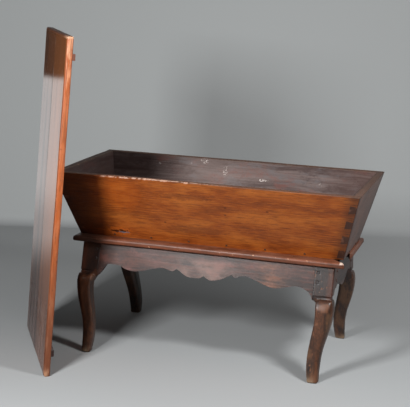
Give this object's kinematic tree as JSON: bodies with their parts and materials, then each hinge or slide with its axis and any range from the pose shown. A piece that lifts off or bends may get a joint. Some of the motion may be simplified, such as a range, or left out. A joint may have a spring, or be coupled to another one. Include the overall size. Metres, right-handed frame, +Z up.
{
  "type": "dough box",
  "caption": "Wooden dough trough with leaning dovetailed boards on a low table with cabriole legs, its loose battened lid leaning on the trough's front corner.",
  "frame": {"origin": "on the floor, midway between the four feet", "axes": "+X to the right along the trough's length, +Y to the back, +Z up; the front with the scalloped apron faces -Y"},
  "size_m": [1.4672, 0.9236, 1.3081],
  "materials": {
    "trough_wood": "worn satin polish, darker and bare inside",
    "lid_wood": "satin polish with paler worn edges",
    "stand_wood": "dark stained satin",
    "moulding_wood": "dark stained satin, pale where broken",
    "peg_wood": "dark end grain",
    "iron_nails": "dark hand-made iron"
  },
  "bodies": {
    "stand": {"leg_front_left": "stand_wood", "leg_front_right": "stand_wood", "leg_back_left": "stand_wood", "leg_back_right": "stand_wood", "apron_front": "stand_wood", "apron_back": "stand_wood", "apron_left": "stand_wood", "apron_right": "stand_wood", "moulding_front": "moulding_wood", "moulding_back": "moulding_wood", "moulding_left": "moulding_wood", "moulding_right": "moulding_wood", "apron_pegs": "peg_wood", "moulding_nails": "iron_nails"},
    "trough": {"trough_front": "trough_wood", "trough_back": "trough_wood", "trough_left_end": "trough_wood", "trough_right_end": "trough_wood", "trough_bottom_front": "trough_wood", "trough_bottom_back": "trough_wood", "trough_nails": "iron_nails"},
    "lid": {"lid_board_near": "lid_wood", "lid_board_far": "lid_wood", "lid_batten_bottom": "lid_wood", "lid_batten_top": "lid_wood", "lid_nails": "iron_nails"}
  },
  "joints": [
    {"name": "trough_lift", "type": "slide", "parent": "stand", "child": "trough", "axis": [0.0648, 0.041, 0.9971], "range_m": [0, 0.15]},
    {"name": "lid_tip", "type": "hinge", "parent": "stand", "child": "lid", "pos_m": [-0.68021, -0.36002, 0.00177], "axis": [0.5344, -0.8453, 0], "range_deg": [0, 93.9]}
  ]
}
